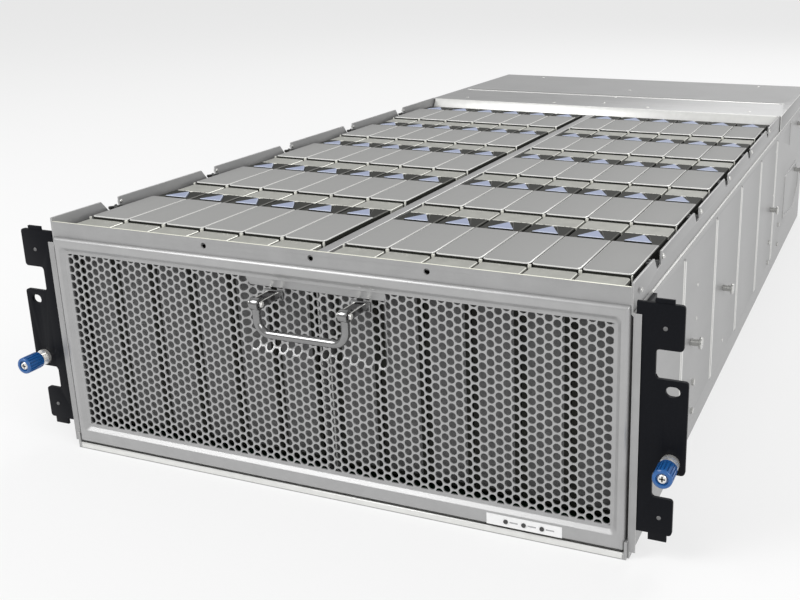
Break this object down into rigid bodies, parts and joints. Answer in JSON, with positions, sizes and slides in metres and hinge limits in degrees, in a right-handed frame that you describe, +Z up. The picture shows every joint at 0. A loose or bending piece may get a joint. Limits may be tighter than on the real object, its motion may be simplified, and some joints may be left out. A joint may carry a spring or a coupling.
{
  "type": "disk shelf enclosure",
  "caption": "Deep open-topped rack chassis with rows of lift-out disk drives, a perforated steel bezel, bail handle, black rack ears and a covered rear with modules.",
  "frame": {"origin": "centre of the base pan's flat underside", "axes": "+Z up out of the drive bay, +Y from the bezel to the rear panel, +X to the right of the bezel"},
  "size_m": [0.4826, 0.8946, 0.175],
  "materials": {
    "chassis_steel": "satin zinc-plated sheet steel",
    "bezel_steel": "satin perforated sheet steel",
    "handle_steel": "polished bent rod",
    "strip_white": "matte printed strip",
    "light_black": "dark light windows, off",
    "ear_black": "semi-gloss black paint",
    "knob_blue": "blue anodised or moulded knob",
    "ferrule_steel": "bright pressed ferrule",
    "stud_steel": "bright turned steel",
    "cap_grey": "satin light grey",
    "carrier_dark": "matte olive black moulding",
    "latch_blue": "pale blue-grey button",
    "drive_case": "cast drive case",
    "board_green": "green circuit board",
    "plug_black": "black connector",
    "module_steel": "plain folded module case",
    "rotor_black": "black moulded rotor",
    "pull_black": "black moulded handle"
  },
  "bodies": {
    "chassis": {"base_pan": "chassis_steel", "left_side_wall": "chassis_steel", "right_side_wall": "chassis_steel", "front_top_beam": "chassis_steel", "centre_divider": "chassis_steel", "cross_beams": "chassis_steel", "backplane_board": "board_green", "bulkhead": "chassis_steel", "rear_top_cover": "chassis_steel", "front_bezel": "bezel_steel", "status_strip": "strip_white", "status_lights": "light_black", "handle_brackets": "handle_steel", "left_rack_ear": "ear_black", "right_rack_ear": "ear_black", "thumbscrew_ferrules": "ferrule_steel", "rail_studs": "stud_steel", "machine_screws": "stud_steel", "drive_connectors": "plug_black", "rear_panel": "chassis_steel", "rear_shelf": "chassis_steel"},
    "front_handle": {"front_handle": "handle_steel"},
    "left_thumbscrew": {"left_thumbscrew": "knob_blue"},
    "right_thumbscrew": {"right_thumbscrew": "knob_blue"},
    "carriers_row_1": {"carriers_row_1": "carrier_dark"},
    "handles_row_1": {"handles_row_1": "cap_grey"},
    "latches_row_1": {"latches_row_1": "latch_blue"},
    "carriers_row_2": {"carriers_row_2": "carrier_dark"},
    "handles_row_2": {"handles_row_2": "cap_grey"},
    "latches_row_2": {"latches_row_2": "latch_blue"},
    "carriers_row_3": {"carriers_row_3": "carrier_dark"},
    "handles_row_3": {"handles_row_3": "cap_grey"},
    "latches_row_3": {"latches_row_3": "latch_blue"},
    "carriers_row_4": {"carriers_row_4": "carrier_dark"},
    "handles_row_4": {"handles_row_4": "cap_grey"},
    "latches_row_4": {"latches_row_4": "latch_blue"},
    "carriers_row_5": {"carriers_row_5": "carrier_dark"},
    "handles_row_5": {"handles_row_5": "cap_grey"},
    "latches_row_5": {"latches_row_5": "latch_blue"},
    "drive_carrier": {"drive_carrier": "carrier_dark", "disk_drive": "drive_case"},
    "carrier_handle": {"carrier_handle": "cap_grey"},
    "carrier_latch": {"carrier_latch": "latch_blue"},
    "fan_module_1": {"fan_module_1": "module_steel"},
    "fan_rotor_1": {"fan_rotor_1": "rotor_black"},
    "fan_module_2": {"fan_module_2": "module_steel"},
    "fan_rotor_2": {"fan_rotor_2": "rotor_black"},
    "fan_module_3": {"fan_module_3": "module_steel"},
    "fan_rotor_3": {"fan_rotor_3": "rotor_black"},
    "fan_module_4": {"fan_module_4": "module_steel"},
    "fan_rotor_4": {"fan_rotor_4": "rotor_black"},
    "power_supply_left": {"power_supply_left": "module_steel"},
    "power_supply_handle_left": {"power_supply_handle_left": "pull_black"},
    "power_supply_right": {"power_supply_right": "module_steel"},
    "power_supply_handle_right": {"power_supply_handle_right": "pull_black"},
    "io_module_lower": {"io_module_lower": "module_steel"},
    "io_lever_lower": {"io_lever_lower": "pull_black"},
    "io_module_upper": {"io_module_upper": "module_steel"},
    "io_lever_upper": {"io_lever_upper": "pull_black"}
  },
  "joints": [
    {"name": "front_handle_swing", "type": "hinge", "parent": "chassis", "child": "front_handle", "pos_m": [0, -0.4448, 0.1385], "axis": [-1, 0, 0], "range_deg": [0, 95]},
    {"name": "left_thumbscrew_turn", "type": "hinge", "parent": "chassis", "child": "left_thumbscrew", "pos_m": [-0.23255, -0.4318, 0.06785], "axis": [0, 1, 0], "continuous": true},
    {"name": "right_thumbscrew_turn", "type": "hinge", "parent": "chassis", "child": "right_thumbscrew", "pos_m": [0.23255, -0.4318, 0.06785], "axis": [0, 1, 0], "continuous": true},
    {"name": "row_1_lift", "type": "slide", "parent": "chassis", "child": "carriers_row_1", "axis": [0, 0, 1], "range_m": [0, 0.16]},
    {"name": "row_1_handles", "type": "hinge", "parent": "carriers_row_1", "child": "handles_row_1", "pos_m": [0, -0.3979, 0.1681], "axis": [1, 0, 0], "range_deg": [0, 75]},
    {"name": "row_1_latches", "type": "slide", "parent": "carriers_row_1", "child": "latches_row_1", "axis": [0, 1, 0], "range_m": [0, 0.003], "stiffness_N_per_m": 150, "springref_m": -0.002},
    {"name": "row_2_lift", "type": "slide", "parent": "chassis", "child": "carriers_row_2", "axis": [0, 0, 1], "range_m": [0, 0.16]},
    {"name": "row_2_handles", "type": "hinge", "parent": "carriers_row_2", "child": "handles_row_2", "pos_m": [0, -0.2829, 0.1681], "axis": [1, 0, 0], "range_deg": [0, 75]},
    {"name": "row_2_latches", "type": "slide", "parent": "carriers_row_2", "child": "latches_row_2", "axis": [0, 1, 0], "range_m": [0, 0.003], "stiffness_N_per_m": 150, "springref_m": -0.002},
    {"name": "row_3_lift", "type": "slide", "parent": "chassis", "child": "carriers_row_3", "axis": [0, 0, 1], "range_m": [0, 0.16]},
    {"name": "row_3_handles", "type": "hinge", "parent": "carriers_row_3", "child": "handles_row_3", "pos_m": [0, -0.1679, 0.1681], "axis": [1, 0, 0], "range_deg": [0, 75]},
    {"name": "row_3_latches", "type": "slide", "parent": "carriers_row_3", "child": "latches_row_3", "axis": [0, 1, 0], "range_m": [0, 0.003], "stiffness_N_per_m": 150, "springref_m": -0.002},
    {"name": "row_4_lift", "type": "slide", "parent": "chassis", "child": "carriers_row_4", "axis": [0, 0, 1], "range_m": [0, 0.16]},
    {"name": "row_4_handles", "type": "hinge", "parent": "carriers_row_4", "child": "handles_row_4", "pos_m": [0, -0.0529, 0.1681], "axis": [1, 0, 0], "range_deg": [0, 75]},
    {"name": "row_4_latches", "type": "slide", "parent": "carriers_row_4", "child": "latches_row_4", "axis": [0, 1, 0], "range_m": [0, 0.003], "stiffness_N_per_m": 150, "springref_m": -0.002},
    {"name": "row_5_lift", "type": "slide", "parent": "chassis", "child": "carriers_row_5", "axis": [0, 0, 1], "range_m": [0, 0.16]},
    {"name": "row_5_handles", "type": "hinge", "parent": "carriers_row_5", "child": "handles_row_5", "pos_m": [0, 0.0621, 0.1681], "axis": [1, 0, 0], "range_deg": [0, 75]},
    {"name": "row_5_latches", "type": "slide", "parent": "carriers_row_5", "child": "latches_row_5", "axis": [0, 1, 0], "range_m": [0, 0.003], "stiffness_N_per_m": 150, "springref_m": -0.002},
    {"name": "single_drive_lift", "type": "slide", "parent": "chassis", "child": "drive_carrier", "axis": [0, 0, 1], "range_m": [0, 0.16]},
    {"name": "single_drive_handle", "type": "hinge", "parent": "drive_carrier", "child": "carrier_handle", "pos_m": [0.184, -0.3979, 0.1681], "axis": [1, 0, 0], "range_deg": [0, 75]},
    {"name": "single_drive_latch", "type": "slide", "parent": "drive_carrier", "child": "carrier_latch", "axis": [0, 1, 0], "range_m": [0, 0.003], "stiffness_N_per_m": 100, "springref_m": -0.002},
    {"name": "fan_1_slide", "type": "slide", "parent": "chassis", "child": "fan_module_1", "axis": [0, 1, 0], "range_m": [0, 0.07]},
    {"name": "fan_1_spin", "type": "hinge", "parent": "fan_module_1", "child": "fan_rotor_1", "pos_m": [-0.153, 0.4028, 0.12865], "axis": [0, 1, 0], "continuous": true},
    {"name": "fan_2_slide", "type": "slide", "parent": "chassis", "child": "fan_module_2", "axis": [0, 1, 0], "range_m": [0, 0.07]},
    {"name": "fan_2_spin", "type": "hinge", "parent": "fan_module_2", "child": "fan_rotor_2", "pos_m": [-0.051, 0.4028, 0.12865], "axis": [0, 1, 0], "continuous": true},
    {"name": "fan_3_slide", "type": "slide", "parent": "chassis", "child": "fan_module_3", "axis": [0, 1, 0], "range_m": [0, 0.07]},
    {"name": "fan_3_spin", "type": "hinge", "parent": "fan_module_3", "child": "fan_rotor_3", "pos_m": [0.051, 0.4028, 0.12865], "axis": [0, 1, 0], "continuous": true},
    {"name": "fan_4_slide", "type": "slide", "parent": "chassis", "child": "fan_module_4", "axis": [0, 1, 0], "range_m": [0, 0.07]},
    {"name": "fan_4_spin", "type": "hinge", "parent": "fan_module_4", "child": "fan_rotor_4", "pos_m": [0.153, 0.4028, 0.12865], "axis": [0, 1, 0], "continuous": true},
    {"name": "power_supply_left_slide", "type": "slide", "parent": "chassis", "child": "power_supply_left", "axis": [0, 1, 0], "range_m": [0, 0.2]},
    {"name": "power_supply_handle_left_swing", "type": "hinge", "parent": "power_supply_left", "child": "power_supply_handle_left", "pos_m": [-0.1583, 0.4378, 0.01368], "axis": [-1, 0, 0], "range_deg": [0, 90]},
    {"name": "power_supply_right_slide", "type": "slide", "parent": "chassis", "child": "power_supply_right", "axis": [0, 1, 0], "range_m": [0, 0.2]},
    {"name": "power_supply_handle_right_swing", "type": "hinge", "parent": "power_supply_right", "child": "power_supply_handle_right", "pos_m": [0.1583, 0.4378, 0.01368], "axis": [-1, 0, 0], "range_deg": [0, 90]},
    {"name": "io_module_lower_slide", "type": "slide", "parent": "chassis", "child": "io_module_lower", "axis": [0, 1, 0], "range_m": [0, 0.2]},
    {"name": "io_lever_lower_swing", "type": "hinge", "parent": "io_module_lower", "child": "io_lever_lower", "pos_m": [0.09744, 0.4378, 0.01222], "axis": [0, 0, -1], "range_deg": [0, 60]},
    {"name": "io_module_upper_slide", "type": "slide", "parent": "chassis", "child": "io_module_upper", "axis": [0, 1, 0], "range_m": [0, 0.2]},
    {"name": "io_lever_upper_swing", "type": "hinge", "parent": "io_module_upper", "child": "io_lever_upper", "pos_m": [0.09744, 0.4378, 0.05468], "axis": [0, 0, -1], "range_deg": [0, 60]}
  ]
}
